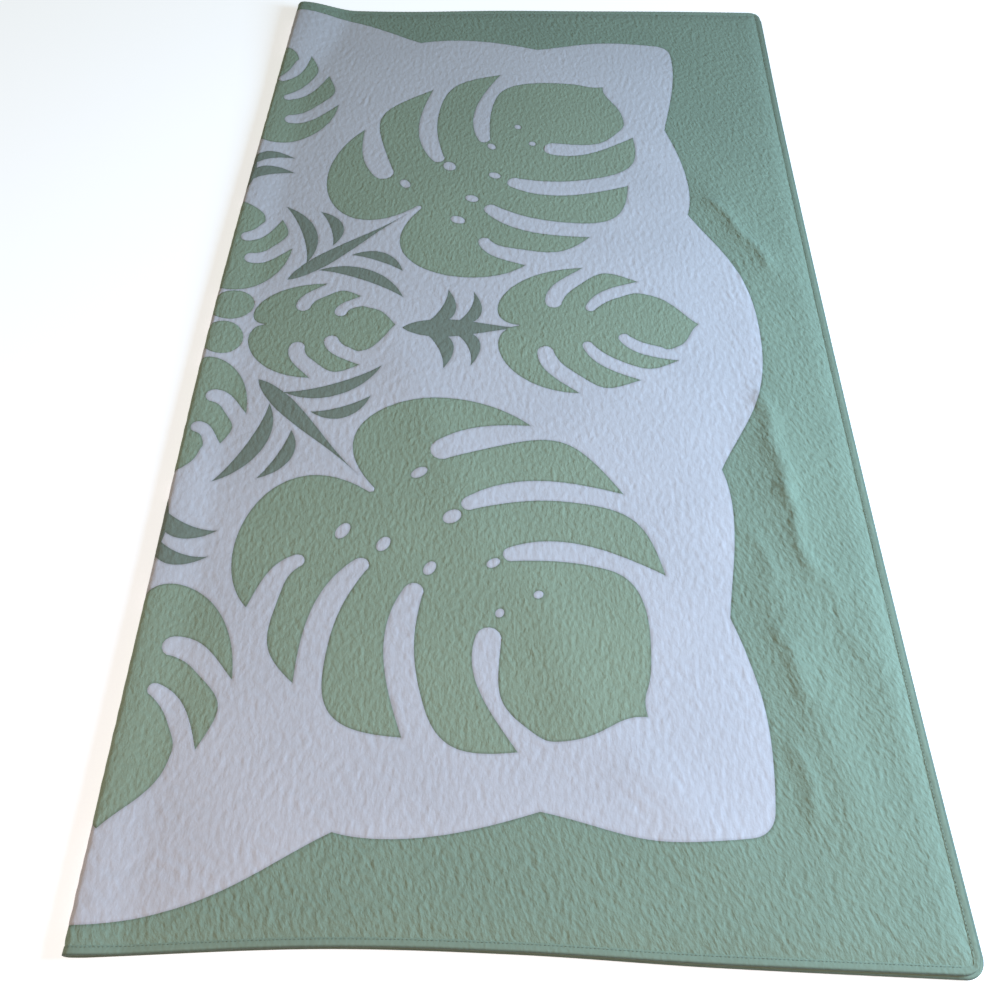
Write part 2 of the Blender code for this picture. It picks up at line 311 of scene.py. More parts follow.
def place(across, along, out):
    """Where the folded cloth holds points of the flat cloth, in the pattern's plane."""
    edge = edge_distance(across, along)
    across, along = round_corner(across, along)
    radius = fold_radius(along)
    quarter = radius * math.pi / 2
    angle = np.clip(across / radius, -math.pi / 2, math.pi / 2)
    beyond = np.maximum(np.abs(across) - quarter, 0.0)
    reach = radius - (radius + out) * np.cos(angle) + beyond
    height = OUT_FULL + radius + (radius + out) * np.sin(angle)

    folded = read_table(SIDES, "along", "folded", along)
    opened = read_table(SIDES, "along", "open", along)
    lower_share = np.maximum(-across, 0.0) / (CUT_WIDTH / 2)
    stretch = (opened - folded) / (radius + CUT_WIDTH / 2 - quarter)
    x = folded + reach * stretch + SLIP_ACROSS * lower_share
    near = read_table(ENDS, "across", "near", x)
    far = read_table(ENDS, "across", "far", x)
    y = near + (far - near) * (along / CUT_LENGTH + 0.5) + SLIP_ALONG * lower_share

    settled = smoothstep(0.0, SETTLE_PER_RADIUS * radius, reach - radius)
    middle = OUT_FULL + 2 * radius
    rest = UPPER_MIDDLE + crease_height(x, y)
    rest = rest - EDGE_DROP * (1.0 - smoothstep(*EDGE_DROP_FADE, edge))
    height = np.where(across >= quarter, height + (rest - middle) * settled, height)
    return np.stack([x, y, height], axis=-1)


def bezier(start, handle_a, handle_b, end):
    """Points along one curve, about OUTLINE_STEP apart, without its last point."""
    stops = (start, handle_a, handle_b, end)
    start, handle_a, handle_b, end = (np.array(stop, dtype=float) for stop in stops)
    length = (np.linalg.norm(handle_a - start) + np.linalg.norm(handle_b - handle_a)
              + np.linalg.norm(end - handle_b) + np.linalg.norm(end - start)) / 2
    count = max(4, round(length / OUTLINE_STEP))
    t = (np.arange(count) / count)[:, None]
    return ((1 - t) ** 3 * start + 3 * (1 - t) ** 2 * t * handle_a
            + 3 * (1 - t) * t ** 2 * handle_b + t ** 3 * end)


def turned(vector, degrees):
    """A vector turned anticlockwise."""
    angle = math.radians(degrees)
    x, y = vector
    return np.array([x * math.cos(angle) - y * math.sin(angle), x * math.sin(angle) + y * math.cos(angle)])


# Leaves. Each is drawn along its midrib, from the notch at 0 to the tip at its length, and laid
# at root with a turn. A side is a row of lobes with a curved slit after each lobe but the last.
# A slit runs from inner, its round end by the midrib, to point, the point of the lobe before
# it. Drop is how far the next lobe's outer edge turns in at its own point, in degrees. End and
# mouth are a slit's widths, and leave is the share of it where that edge parts from it. Bulge
# is how full the edge is. Bend, open, straight and close shape a slit that differs from the
# others. Fall and hook are the directions of the edge before the tip.
BIG_LEAF = {
    "root": (0.400, 0.362),
    "turn": 47.6,
    "length": 0.614,
    "back": 0.116,
    "notch_half": 0.006,
    "bulge": 0.50,
    "fall": 52,
    "hook": 38,
    "tip_size": 0.058,
    "few_shoulder": (0.560, 0.078),
    "few_slits": (
        {"inner": (0.024, 0.126), "point": (0.106, 0.300), "end": 0.046, "mouth": 0.050,
         "leave": 0.36, "drop": 38, "bend": 14, "open": -4, "bulge": 0.58},
        {"inner": (0.144, 0.080), "point": (0.326, 0.300), "end": 0.028, "mouth": 0.038,
         "leave": 0.74, "drop": 34, "bulge": 0.52},
        {"inner": (0.264, 0.055), "point": (0.480, 0.220), "end": 0.028, "mouth": 0.030,
         "leave": 0.70, "drop": 30, "bulge": 0.38},
    ),
    "many_shoulder": (0.555, 0.114),
    "many_slits": (
        {"inner": (0.020, 0.174), "point": (0.020, 0.299), "end": 0.026, "mouth": 0.044,
         "leave": 0.60, "drop": 34},
        {"inner": (0.102, 0.106), "point": (0.180, 0.338), "end": 0.030, "mouth": 0.044,
         "leave": 0.90, "drop": 38, "bulge": 0.52},
        {"inner": (0.198, 0.080), "point": (0.369, 0.287), "end": 0.034, "mouth": 0.046,
         "leave": 0.86, "drop": 34, "bulge": 0.50},
        {"inner": (0.342, 0.056), "point": (0.511, 0.183), "end": 0.042, "mouth": 0.042,
         "leave": 0.90, "drop": 18, "open": 16, "straight": 0.46, "close": 44},
    ),
    "holes": (
        {"at": (0.034, 0.083), "long": 0.032, "wide": 0.020},
        {"at": (0.144, 0.054), "long": 0.034, "wide": 0.026},
        {"at": (0.260, 0.034), "long": 0.025, "wide": 0.016},
        {"at": (0.355, 0.041), "long": 0.017, "wide": 0.014},
        {"at": (0.026, -0.093), "long": 0.034, "wide": 0.022},
        {"at": (0.097, -0.065), "long": 0.031, "wide": 0.021},
        {"at": (0.189, -0.046), "long": 0.028, "wide": 0.019},
        {"at": (0.332, -0.028), "long": 0.017, "wide": 0.014},
    ),
}
AXIS_LEAF = {
    "root": (0.623, 0.0),
    "turn": 2.4,
    "length": 0.358,
    "back": 0.042,
    "notch_half": 0.001,
    "bulge": 0.52,
    "fall": 18,
    "hook": 41,
    "tip_size": 0.045,
    "few_shoulder": (0.270, 0.082),
    "few_slits": (
        {"inner": (0.072, 0.048), "point": (0.137, 0.164), "end": 0.034, "mouth": 0.036,
         "leave": 0.50, "drop": 38, "bulge": 0.60},
        {"inner": (0.142, 0.038), "point": (0.248, 0.122), "end": 0.021, "mouth": 0.031,
         "leave": 0.58, "drop": 32},
    ),
    "many_shoulder": (0.296, 0.066),
    "many_slits": (
        {"inner": (0.050, 0.058), "point": (0.108, 0.180), "end": 0.032, "mouth": 0.036,
         "leave": 0.64, "drop": 32, "bulge": 0.60},
        {"inner": (0.130, 0.047), "point": (0.228, 0.147), "end": 0.021, "mouth": 0.030,
         "leave": 0.66, "drop": 26},
        {"inner": (0.201, 0.027), "point": (0.306, 0.097), "end": 0.023, "mouth": 0.030,
         "leave": 0.66, "drop": 26},
    ),
}
INNER_LEAF = {
    "root": (0.118, 0.0),
    "turn": 0,
    "length": 0.260,
    "back": 0.026,
    "notch_half": 0.001,
    "bulge": 0.60,
    "fall": 14,
    "hook": 50,
    "tip_size": 0.026,
    "few_shoulder": (0.212, 0.046),
    "few_slits": (
        {"inner": (0.072, 0.038), "point": (0.112, 0.118), "end": 0.030, "mouth": 0.032,
         "leave": 0.50, "drop": 36},
        {"inner": (0.147, 0.024), "point": (0.184, 0.082), "end": 0.025, "mouth": 0.027,
         "leave": 0.45, "drop": 36},
    ),
    "many_shoulder": (0.204, 0.070),
    "many_slits": (
        {"inner": (0.076, 0.048), "point": (0.106, 0.142), "end": 0.030, "mouth": 0.034,
         "leave": 0.50, "drop": 40},
        {"inner": (0.135, 0.030), "point": (0.198, 0.108), "end": 0.028, "mouth": 0.032,
         "leave": 0.48, "drop": 38},
    ),
}

# What the slits share: the turns and the handles of their edges, as shares of their length, and
# the points of their round end
SLIT_BEND_IN = 28
SLIT_BEND_OUT = 23
SLIT_OPENS = 8
SLIT_STRAIGHT = 0.28
SLIT_BASAL_HANDLE = 0.36
SLIT_CLOSING_HANDLE = 0.40
SLIT_END_POINTS = 8

# What the leaves share: how the edge swings out behind the notch and arrives at the first
# point, the handle at the tip, the depth of the notch, and how holes lean from the midrib
BACK_SWING = (-2.0, 0.22)
BACK_RISE = 0.97
TIP_HANDLE = 0.8
NOTCH_DEPTH = 0.7
HOLE_LEAN = 76
OVAL_SIDES = 24


def slit_edges(slit):
    """The basal edge of a slit, its round inner end and its apical edge, from inside out."""
    inner, point = np.array(slit["inner"]), np.array(slit["point"])
    size = np.linalg.norm(point - inner)
    run = (point - inner) / size
    start_way = turned(run, slit.get("bend", SLIT_BEND_IN))
    end_way = turned(run, -SLIT_BEND_OUT)
    cap = slit["end"] / 2
    middle = inner + start_way * cap
    basal_start = middle + turned(start_way, 90) * cap
    apical_start = middle - turned(start_way, 90) * cap
    mouth = point - turned(end_way, 90) * slit["mouth"]
    handle = size * SLIT_BASAL_HANDLE
    basal = bezier(basal_start, basal_start + start_way * handle, point - end_way * handle, point)
    widening = turned(run, slit.get("open", SLIT_OPENS)) * size * slit.get("straight", SLIT_STRAIGHT)
    closing = turned(run, -slit.get("close", SLIT_BEND_OUT)) * size * SLIT_CLOSING_HANDLE
    apical = bezier(apical_start, apical_start + widening, mouth - closing, mouth)
    arc = [middle + (basal_start - middle) * math.cos(turn) - start_way * cap * math.sin(turn)
           for turn in np.linspace(0.0, math.pi, SLIT_END_POINTS)[1:-1]]
    return np.concatenate([basal, [point]]), np.array(arc), apical


def leaf_side(leaf, side):
    """One side of a leaf, from the notch to just before the tip, on the positive side."""
    slits = leaf[f"{side}_slits"]
    shoulder = np.array(leaf[f"{side}_shoulder"])
    tip = np.array([leaf["length"], 0.0])
    start = np.array([0.0, leaf["notch_half"]])
    first = np.array(slits[0]["point"])
    fall = turned((1.0, 0.0), -leaf["fall"])
    swing = leaf["back"] * np.array(BACK_SWING)
    points = [bezier(start, start + swing, (-leaf["back"], first[1] * BACK_RISE), first)]
    for number, slit in enumerate(slits):
        basal, arc, apical = slit_edges(slit)
        last = round(len(apical) * slit["leave"])
        points += [basal[::-1][:-1], basal[:1], arc, apical[:last]]
        start = apical[last]
        leaving = apical[last] - apical[last - 1]
        leaving = leaving / np.linalg.norm(leaving)
        is_last = number + 1 == len(slits)
        following = shoulder if is_last else np.array(slits[number + 1]["point"])
        chord = np.linalg.norm(following - start)
        arriving = fall if is_last else turned(following - start, -slit["drop"]) / chord
        reach = chord * slit.get("bulge", leaf["bulge"])
        points.append(bezier(start, start + leaving * reach, following - arriving * reach, following))
    hook = turned((1.0, 0.0), -leaf["hook"]) * leaf["tip_size"]
    points.append(bezier(shoulder, shoulder + fall * leaf["tip_size"], tip - hook * TIP_HANDLE, tip))
    return np.concatenate(points)


def leaf_outline(leaf):
    """A leaf's outline: the side with fewer slits, the tip, then the other side back."""
    left = leaf_side(leaf, "few")
    right = leaf_side(leaf, "many") * np.array([1.0, -1.0])
    tip = np.array([[leaf["length"], 0.0]])
    notch = np.array([[leaf["notch_half"] * NOTCH_DEPTH, 0.0]])
    return np.concatenate([left, tip, right[::-1], notch])


# Sprigs and petals. A sprig has a straight stem and curved blades, which bow to their left. The
# sprig on the axis has each of its blades on both sides
AXIS_STEM = {"start": (0.392, 0.0), "end": (0.654, 0.0), "width": 0.050, "swell_at": 0.30}
AXIS_BLADES = (
    {"root": (0.424, 0.004), "tip": (0.478, 0.109), "bow": -0.030, "width": 0.032},
    {"root": (0.478, 0.004), "tip": (0.530, 0.102), "bow": -0.032, "width": 0.027},
)
DIAGONAL_STEM = {"start": (0.146, 0.129), "end": (0.374, 0.338), "width": 0.037, "swell_at": 0.28}
DIAGONAL_BLADES = (
    {"root": (0.178, 0.180), "tip": (0.110, 0.360), "bow": -0.028, "width": 0.030},
    {"root": (0.226, 0.236), "tip": (0.187, 0.345), "bow": -0.022, "width": 0.027},
    {"root": (0.206, 0.158), "tip": (0.387, 0.080), "bow": 0.028, "width": 0.032},
    {"root": (0.270, 0.206), "tip": (0.380, 0.158), "bow": 0.020, "width": 0.027},
)
PETAL = {"middle": (0.047, 0.043), "long": 0.088, "wide": 0.080, "degrees": 20}

# Handles of blades and stems, as shares of their length or width, and how much of its handles'
# height a curve reaches
BLADE_RISE = 0.25
BLADE_FALL = 0.70
CURVE_REACH = 0.75
STEM_RISE = 0.08
STEM_FALL = 0.3
STEM_NARROWING = 0.8

# How far some motifs were laid off their place, across and along
LAID_OFF = {
    "leaf_big_4": (0.003, -0.008),
    "sprig_axis_1": (0.000, -0.008),
    "sprig_axis_4": (-0.002, -0.013),
    "leaf_axis_4": (0.006, -0.018),
    "petal_1": (0.000, 0.008),
    "petal_4": (0.000, 0.008),
}


def ellipse(middle, long, wide, degrees):
    """An oval, with its long side turned anticlockwise."""
    turns = np.arange(OVAL_SIDES) / OVAL_SIDES * math.tau
    return np.array([np.array(middle) + turned((math.cos(t) * long / 2, math.sin(t) * wide / 2), degrees)
                     for t in turns])


def leaf_holes(leaf):
    """The oval holes of a leaf, each turned outwards from the midrib."""
    return [ellipse(hole["at"], hole["long"], hole["wide"], np.sign(hole["at"][1]) * HOLE_LEAN)
            for hole in leaf.get("holes", ())]


def crescent(root, tip, bow, width):
    """A curved blade with two points. It bows to its left by bow, and width is its thickness."""
    root, tip = np.array(root), np.array(tip)
    run = tip - root
    side = turned(run / np.linalg.norm(run), 90)
    outer_side = side * (bow + width / 2) / CURVE_REACH
    inner_side = side * (bow - width / 2) / CURVE_REACH
    rise, fall = root + run * BLADE_RISE, root + run * BLADE_FALL
    outer = bezier(root, rise + outer_side, fall + outer_side, tip)
    inner = bezier(tip, fall + inner_side, rise + inner_side, root)
    return np.concatenate([outer, inner])


def lens(start, end, width, swell_at):
    """A thin straight blade with two points, widest a share of the way along."""
    start, end = np.array(start), np.array(end)
    run = end - start
    side = turned(run / np.linalg.norm(run), 90) * width / 2
    swell = start + run * swell_at
    rise = start + run * STEM_RISE
    fall = swell + run * STEM_FALL
    narrow = side * STEM_NARROWING
    taper = end - run * STEM_FALL
    return np.concatenate([
        bezier(start, rise + side, swell + side, swell + side),
        bezier(swell + side, fall + narrow, taper, end),
        bezier(end, taper, fall - narrow, swell - side),
        bezier(swell - side, swell - side, rise - side, start),
    ])


def bump(value, at, half, out):
    """A soft bump of a certain height round a place."""
    return out * np.exp(-((value - at) / half) ** 2)


def field_outline():
    """The scalloped edge of the off-white field, all the way round."""
    corner = np.array([FIELD_CORNER, FIELD_CORNER])
    round_start = corner - np.array([0.0, FIELD_CORNER_ROUNDING])
    round_middle = corner - FIELD_CORNER_ROUNDING * (1 - math.sqrt(0.5))
    scallop = np.array([FIELD_SCALLOP_MIDDLE, 0.0])
    stops = (scallop, np.array(FIELD_CUSP), np.array(FIELD_WAIST), round_start, round_middle)
    curves = [bezier(start, start + curve["leaving"], end + curve["arriving"], end)
              for start, end, curve in zip(stops, stops[1:], FIELD_CURVES)]
    eighth = np.concatenate(curves + [[round_middle]])
    other = eighth[:-1][::-1][:, ::-1]
    quarter = np.concatenate([eighth, other])[:-1]
    whole = np.concatenate([turn_quarters(quarter, count) for count in range(4)])

    from_middle = np.abs(whole[:, 0])
    to_corner = smoothstep(*CORNER_FADE, from_middle)
    to_cusps = smoothstep(*CUSPS_FADE_IN, from_middle) * (1.0 - smoothstep(*CUSPS_FADE_OUT, from_middle))
    to_ends = smoothstep(*END_FADE, np.abs(whole[:, 1]))
    whole[:, 0] += np.sign(whole[:, 0]) * CUSPS_OUT * to_cusps * to_ends
    to_side = smoothstep(*SIDE_FADE, whole[:, 0])
    for belly in SIDE_BELLIES:
        whole[:, 0] += bump(whole[:, 1], **belly) * to_side
    longer = FIELD_LENGTHENED + (CORNER_LENGTHENED - FIELD_LENGTHENED) * to_corner
    whole[:, 1] *= 1.0 + longer + bump(np.abs(whole[:, 0]), **END_BELLY)
    return whole


def turn_quarters(points, count):
    """Points turned by quarter turns round the pattern's centre."""
    for _ in range(count):
        points = np.stack([-points[:, 1], points[:, 0]], axis=-1)
    return points


def set_down(points, leaf):
    """Points drawn along a leaf's midrib, laid where the leaf is."""
    angle = math.radians(leaf["turn"])
    turn = np.array([[math.cos(angle), math.sin(angle)], [-math.sin(angle), math.cos(angle)]])
    return points @ turn + np.array(leaf["root"])


def axis_blades():
    """The outlines of the axis sprig's blades, on one side of the stem and then on the other."""
    found = []
    for side in (1, -1):
        for blade in AXIS_BLADES:
            root, tip = np.array([blade["root"], blade["tip"]]) * (1, side)
            found.append(crescent(root, tip, side * blade["bow"], blade["width"]))
    return found


def motifs():
    """All motifs, as rows of name, outlines and holes: each is drawn once and turned three times."""
    drawn = [(name, [set_down(leaf_outline(leaf), leaf)], [set_down(hole, leaf) for hole in leaf_holes(leaf)])
             for name, leaf in (("leaf_big", BIG_LEAF), ("leaf_axis", AXIS_LEAF), ("leaf_inner", INNER_LEAF))]
    drawn.append(("sprig_axis", [lens(**AXIS_STEM)] + axis_blades(), []))
    diagonal_blades = [crescent(**blade) for blade in DIAGONAL_BLADES]
    drawn.append(("sprig_diagonal", [lens(**DIAGONAL_STEM)] + diagonal_blades, []))
    drawn.append(("petal", [ellipse(**PETAL)], []))
    rows = []
    for motif, outlines, holes in drawn:
        for count in range(4):
            name = f"{motif}_{count + 1}"
            laid_off = np.array(LAID_OFF.get(name, (0.0, 0.0)))
            rows.append((name, [turn_quarters(outline, count) + laid_off for outline in outlines],
                         [turn_quarters(hole, count) + laid_off for hole in holes]))
    return rows


def grid_stations():
    """Distances across for the upper layer and the fold, and for the layer under them."""
    half = CUT_WIDTH / 2 - TOP_INSET
    quarter = FOLD_RADIUS_FAR * math.pi / 2
    fold = np.arange(-quarter, quarter, FOLD_STEP)
    upper = np.linspace(quarter, half, round((half - quarter) / STEP_ACROSS) + 1)
    under = np.linspace(-half, -quarter - UNDER_STEP_ACROSS, round((half - quarter) / UNDER_STEP_ACROSS))
    return under, np.concatenate([fold, upper])


def nearest_distance(points, targets):
    """Distance from each of some points of the flat cloth to the nearest of others."""
    tree = KDTree(len(targets))
    for number, (x, y) in enumerate(targets):
        tree.insert((x, y, 0.0), number)
    tree.balance()
    return np.array([tree.find((x, y, 0.0))[2] for x, y in points])


def flat_points(on_outlines):
    """Points of the flat cloth between its outlines: fine on the upper layer, coarse under it."""
    half_length = CUT_LENGTH / 2 - TOP_INSET
    under, upper = grid_stations()
    found = []
    for columns, row_step in ((upper, STEP_ALONG), (under, UNDER_STEP_ALONG)):
        rows = round(2 * half_length / row_step)
        across, along = np.meshgrid(columns, np.linspace(-half_length, half_length, rows + 1))
        sway = np.where(np.arange(rows + 1) % 2 == 1, ROW_SHIFT, -ROW_SHIFT)[:, None]
        inside = np.abs(across) < CUT_WIDTH / 2 - TOP_INSET - MM
        across = np.where(inside, across + sway * np.gradient(columns), across)
        found.append(np.stack([across.ravel(), along.ravel()], axis=-1))
    points = np.concatenate(found)
    is_clear = nearest_distance(points, on_outlines) > OUTLINE_CLEAR * STEP_ALONG
    is_edge = edge_distance(points[:, 0], points[:, 1]) < TOP_INSET + MM
    return points[is_clear | is_edge]


def is_inside(points, outline):
    """Which points lie inside a closed outline."""
    x, y = points[:, 0, None], points[:, 1, None]
    start, end = outline, np.roll(outline, -1, axis=0)
    spans = (start[:, 1] > y) != (end[:, 1] > y)
    rise = np.where(end[:, 1] == start[:, 1], 1.0, end[:, 1] - start[:, 1])
    crossing = start[:, 0] + (y - start[:, 1]) * (end[:, 0] - start[:, 0]) / rise
    return np.sum(spans & (x < crossing), axis=1) % 2 == 1


def pattern_outlines():
    """Every outline of the pattern, on the flat cloth: rows of piece, points and is_hole."""
    rows = [("ground_cloth", field_outline(), False)]
    for name, drawn, holes in motifs():
        rows += [(name, outline, False) for outline in drawn]
        rows += [(name, hole, True) for hole in holes]
    outlines = []
    for name, outline, is_hole in rows:
        following = np.roll(outline, -1, axis=0)
        turns_left = np.sum(outline[:, 0] * following[:, 1] - outline[:, 1] * following[:, 0]) > 0
        outline = outline if turns_left else outline[::-1]
        outlines.append({"piece": name, "points": outline + np.array([PATTERN_CENTRE, 0.0]), "hole": is_hole})
    return outlines


def seam_points(outlines):
    """The outlines' points, without those of a motif that lie inside another motif's outline."""
    found = [row["points"] for row in outlines if row["hole"] or row is outlines[0]]
    motif_edges = [row["points"] for row in outlines[1:] if not row["hole"]]
    for edge in motif_edges:
        covered = np.zeros(len(edge), dtype=bool)
        for other in motif_edges:
            apart = (other.max(axis=0) < edge.min(axis=0)) | (other.min(axis=0) > edge.max(axis=0))
            if other is not edge and not np.any(apart):
                covered |= is_inside(edge, other)
        found.append(edge[~covered])
    return np.concatenate(found)


def make_cloth_plan():
    """Points and triangles that follow every outline, the piece of each triangle, and each
    point's distance from a seam."""
    outlines = pattern_outlines()
    on_outlines = np.concatenate([row["points"] for row in outlines])
    points = np.concatenate([on_outlines, flat_points(on_outlines)])
    faces = []
    number = 0
    for row in outlines:
        faces.append(list(range(number, number + len(row["points"]))))
        number += len(row["points"])
    fill_hull = 0
    plan_points, _, triangles, _, _, face_sources = delaunay_2d_cdt(
        [Vector(point) for point in points], [], faces, fill_hull, SAME_POINT, True)
    plan_points = np.array([tuple(point) for point in plan_points])
    triangles = np.array([list(face) for face in triangles])
    piece_of = np.full(len(triangles), "border_cloth", dtype=object)
    for index, sources in enumerate(face_sources):
        over = [outlines[source] for source in sorted(sources) if source > 0]
        if over and not any(row["hole"] for row in over):
            piece_of[index] = over[0]["piece"]
        elif 0 in sources:
            piece_of[index] = "ground_cloth"
    return plan_points, triangles, piece_of, nearest_distance(plan_points, seam_points(outlines))


def set_inputs(tree, node, inputs):
    """Give a node's inputs constants, or links from other nodes' outputs."""
    for name, value in inputs.items():
        if isinstance(value, bpy.types.NodeSocket):
            tree.links.new(value, node.inputs[name])
        else:
            node.inputs[name].default_value = value


def new_node(tree, kind, inputs=None, **settings):
    """A new node with its settings and its inputs."""
    node = tree.nodes.new(kind)
    for name, value in settings.items():
        setattr(node, name, value)
    set_inputs(tree, node, inputs or {})
    return node


def new_math(tree, operation, *values):
    """One number made from two or three sockets or constants."""
    return new_node(tree, "ShaderNodeMath", dict(enumerate(values)), operation=operation).outputs[0]


def new_stretch(tree, flat_place, stretch):
    """A place on the flat cloth, with its axis along the cloth stretched."""
    inputs = {0: flat_place, 1: (1.0, stretch, 0.0)}
    return new_node(tree, "ShaderNodeVectorMath", inputs, operation="MULTIPLY").outputs[0]


def new_quilting(tree, flat_place, waves, stretch):
    """The quilting's wave, from -1 to 1, with the sewn lines where it is 0."""
    wave = new_node(tree, "ShaderNodeTexGabor", {
        "Vector": new_stretch(tree, flat_place, stretch),
        "Scale": waves / WAVES_PER_CELL,
        "Frequency": WAVES_PER_CELL,
        "Anisotropy": 0.0,
    }, gabor_type="2D")
    return new_math(tree, "MULTIPLY_ADD", wave.outputs["Value"], 2.0, -1.0)


def add_object(name, data):
    """A new object in the scene."""
    made = bpy.data.objects.new(name, data)
    bpy.context.scene.collection.objects.link(made)
    return made


def quilting_field(points):
    """The quilting's wave over points of the flat cloth, read through a small node group."""
    mesh = bpy.data.meshes.new("quilting_reader")
    mesh.from_pydata([(x, y, 0.0) for x, y in points], [], [])
    reader = add_object("quilting_reader", mesh)
    group = bpy.data.node_groups.new("read_quilting", "GeometryNodeTree")
    for in_out in ("INPUT", "OUTPUT"):
        group.interface.new_socket("Geometry", in_out=in_out, socket_type="NodeSocketGeometry")
    start = new_node(group, "NodeGroupInput")
    position = new_node(group, "GeometryNodeInputPosition")
    store = new_node(group, "GeometryNodeStoreNamedAttribute", {
        "Geometry": start.outputs[0],
        "Name": "quilting",
        "Value": new_quilting(group, position.outputs[0], BROAD_WAVES, BROAD_STRETCH),
    })
    new_node(group, "NodeGroupOutput", {0: store.outputs["Geometry"]})
    reader.modifiers.new("read", "NODES").node_group = group
    bpy.context.view_layer.update()
    made = reader.evaluated_get(bpy.context.evaluated_depsgraph_get()).data
    values = np.empty(len(points))
    made.attributes["quilting"].data.foreach_get("value", values)
    bpy.data.objects.remove(reader)
    bpy.data.meshes.remove(mesh)
    bpy.data.node_groups.remove(group)
    return values


def mesh_object(name, points, faces, smooth=True):
    """A mesh object from arrays of points and faces."""
    mesh = bpy.data.meshes.new(name)
    mesh.from_pydata(points.tolist(), [], faces.tolist())
    mesh.validate()
    if smooth:
        mesh.shade_smooth()
    return add_object(name, mesh)


def store_cloth_place(piece, across, along, seam=1.0):
    """Keep each point's flat place and its distance from a seam, or on the binding from its outer edge, by
    which the materials paint shade.
    """
    places = np.stack([across, along, np.broadcast_to(seam, len(across))], axis=-1)
    attribute = piece.data.attributes.new("cloth", "FLOAT_VECTOR", "POINT")
    attribute.data.foreach_set("vector", places.astype(np.float32).ravel())


def cloth_shift():
    """From the pattern's plane to the frame, with its origin under the part's middle."""
    sides = np.linspace(-CUT_LENGTH / 2, CUT_LENGTH / 2, RIM_SAMPLES)
    ends = np.linspace(-CUT_WIDTH / 2, CUT_WIDTH / 2, RIM_SAMPLES)
    one, middle = np.ones(RIM_SAMPLES), np.zeros(RIM_SAMPLES)
    rims = [place(middle, sides, one * OUT_FULL)]
    for side in (-1, 1):
        rims.append(place(one * side * CUT_WIDTH / 2, sides, middle))
        rims.append(place(ends, one * side * CUT_LENGTH / 2, middle))
    rim = np.concatenate(rims)
    shift = np.mean(CAD_BOX, axis=0) - (rim.min(axis=0) + rim.max(axis=0)) / 2
    shift[2] = 0.0
    return shift


def make_top(shift):
    """The top cloth: the off-white ground, the sage border and every leaf, as pieces that meet."""
    points, triangles, piece_of, seam = make_cloth_plan()
    across, along = points[:, 0], points[:, 1]
    leaning = turned((across, along), BORDER_LEAN).T
    on_border = smoothstep(*BORDER_FADE, np.maximum(np.abs(across), np.abs(along)))
    wave = quilting_field(points) * (1.0 - on_border) + quilting_field(leaning) * on_border
    swell = smoothstep(*OUT_SWELL, edge_distance(across, along))
    share = np.where(across < 0.0, UNDER_RELIEF, 1.0 + BORDER_RELIEF * on_border)
    relief = BROAD_HEIGHT * np.clip(wave, -1.0, 1.0) * share
    relief -= SEAM_DEPTH * np.exp(-(seam / SEAM_WIDTH) ** 2)
    out = EDGE_HALF + (OUT_FULL - EDGE_HALF + relief) * swell
    world = place(across, along, out) + shift
    pieces = {}
    for name in sorted(set(piece_of)):
        chosen = triangles[piece_of == name]
        used, renumbered = np.unique(chosen, return_inverse=True)
        pieces[name] = mesh_object(name, world[used], renumbered.reshape(chosen.shape))
        store_cloth_place(pieces[name], across[used], along[used], seam[used])
    return pieces


def make_backing(shift):
    """The plain cloth on the other side, between the two layers."""
    half_width, half_length = CUT_WIDTH / 2 - TOP_INSET, CUT_LENGTH / 2 - TOP_INSET
    columns = np.linspace(-half_width, half_width, round(2 * half_width / BACKING_STEP) + 1)
    quarter = FOLD_RADIUS_FAR * math.pi / 2
    fold = np.linspace(-quarter, quarter, BACKING_FOLD_COLUMNS)
    columns = np.concatenate([columns[columns < -quarter], fold, columns[columns > quarter]])
    rows = np.linspace(-half_length, half_length, round(2 * half_length / BACKING_STEP) + 1)
    across, along = (part.ravel() for part in np.meshgrid(columns, rows))
    swell = smoothstep(*IN_SWELL, edge_distance(across, along))
    out = -EDGE_HALF - (IN_FULL - EDGE_HALF) * swell
    world = place(across, along, out) + shift
    piece = mesh_object("backing_cloth", world, grid_faces(len(rows), len(columns))[:, ::-1])
    store_cloth_place(piece, across, along)
    return piece


def grid_faces(rows, columns, closed=False):
    """Four-sided faces over a grid of points, and over its seam where it closes on itself."""
    row = np.arange(rows if closed else rows - 1)
    row, column = (part.ravel() for part in np.meshgrid(row, np.arange(columns - 1)))
    this = row * columns + column
    following = (row + 1) % rows * columns + column
    return np.stack([this, this + 1, following + 1, following], axis=-1)


# The binding's section, from its upper inner edge round the cloth's edge to its lower inner
# edge, as distance from the edge and offset, in millimetres
BINDING_SECTION = (
    (12.6, 1.2), (12.2, 1.65), (11.2, 2.0), (10.2, 1.75), (9.2, 2.0), (7.0, 2.45), (4.5, 2.6),
    (2.4, 2.55), (0.8, 2.2), (0.2, 1.1), (0.0, 0.0), (0.2, -1.1), (1.0, -2.1), (2.4, -2.45),
    (7.0, -2.5), (11.4, -2.5), (12.6, -1.3),
)
BINDING_STEP = 0.004
MITRE_FROM = 0.040

# The stitches pull the binding's outer side down a little, in waves along it
PULL = 0.00025
PULL_LENGTH = 0.011
PULL_ABOVE = 0.0015

# Stitches: their line's distance from the edge, the section's places and thickness along one
# stitch, in millimetres, and how flat the thread lies
STITCH_LINE = 0.0102
STITCH_PITCH = 0.0056
STITCH_SPREAD = (-1.7, -1.0, 1.0, 1.7)
STITCH_THICK = (0.1, 0.5, 0.5, 0.1)
STITCH_SIDES = 6
STITCH_OUT = 0.0021
STITCH_FLATNESS = 0.7

# Lengths of the cloth's sides: near end, open side, far end, lower open side
CLOTH_SIDES = (CUT_WIDTH, CUT_LENGTH, CUT_WIDTH, CUT_LENGTH)


